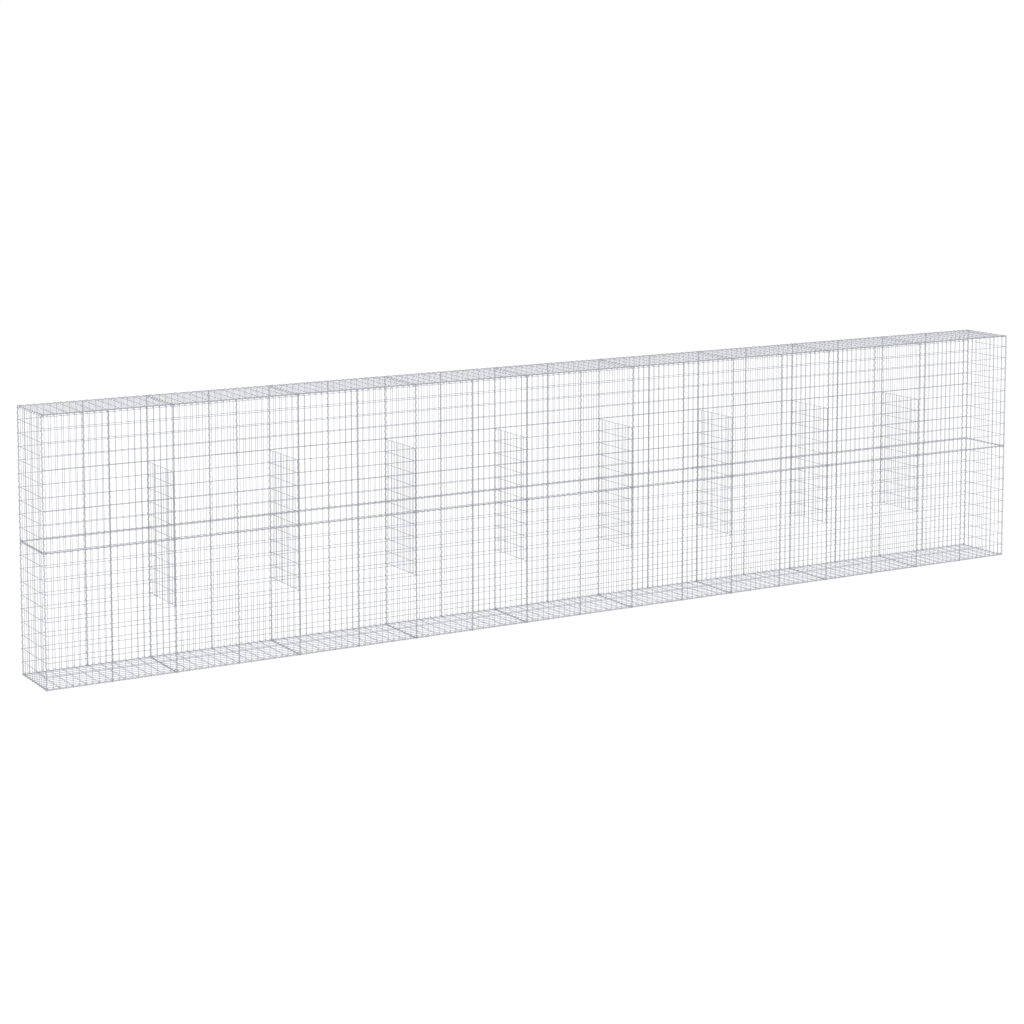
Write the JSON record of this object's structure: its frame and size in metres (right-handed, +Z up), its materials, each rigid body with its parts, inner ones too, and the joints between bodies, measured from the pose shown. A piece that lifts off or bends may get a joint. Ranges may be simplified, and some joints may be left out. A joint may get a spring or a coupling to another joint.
{
  "type": "gabion wall",
  "caption": "Empty gabion wall: welded wire mesh baskets joined in a straight row of bays two levels high, with floors, covers and dividers laced together by spiral wires.",
  "frame": {"origin": "centre of the wall's rectangular footprint, on the ground", "axes": "+X along the wall, +Z up, front face towards -Y"},
  "size_m": [9, 0.531, 2],
  "materials": {
    "mesh_wire": "hot-dip galvanised, dull satin",
    "spiral_wire": "galvanised spring wire, a little brighter and smoother"
  },
  "bodies": {
    "root": {"front_bay_1": "mesh_wire", "front_bay_2": "mesh_wire", "front_bay_3": "mesh_wire", "front_bay_4": "mesh_wire", "front_bay_5": "mesh_wire", "front_bay_6": "mesh_wire", "front_bay_7": "mesh_wire", "front_bay_8": "mesh_wire", "front_bay_9": "mesh_wire", "back_bay_1": "mesh_wire", "back_bay_2": "mesh_wire", "back_bay_3": "mesh_wire", "back_bay_4": "mesh_wire", "back_bay_5": "mesh_wire", "back_bay_6": "mesh_wire", "back_bay_7": "mesh_wire", "back_bay_8": "mesh_wire", "back_bay_9": "mesh_wire", "floor_1": "mesh_wire", "floor_2": "mesh_wire", "floor_3": "mesh_wire", "floor_4": "mesh_wire", "floor_5": "mesh_wire", "floor_6": "mesh_wire", "floor_7": "mesh_wire", "floor_8": "mesh_wire", "floor_9": "mesh_wire", "cover_1": "mesh_wire", "cover_2": "mesh_wire", "cover_3": "mesh_wire", "cover_4": "mesh_wire", "cover_5": "mesh_wire", "cover_6": "mesh_wire", "cover_7": "mesh_wire", "cover_8": "mesh_wire", "cover_9": "mesh_wire", "left_end": "mesh_wire", "right_end": "mesh_wire", "dividers": "mesh_wire", "front_upright_spirals": "spiral_wire", "back_upright_spirals": "spiral_wire", "front_level_spirals": "spiral_wire", "back_level_spirals": "spiral_wire", "floor_spirals": "spiral_wire", "cover_spirals": "spiral_wire", "end_waist_spirals": "spiral_wire"}
  },
  "joints": []
}
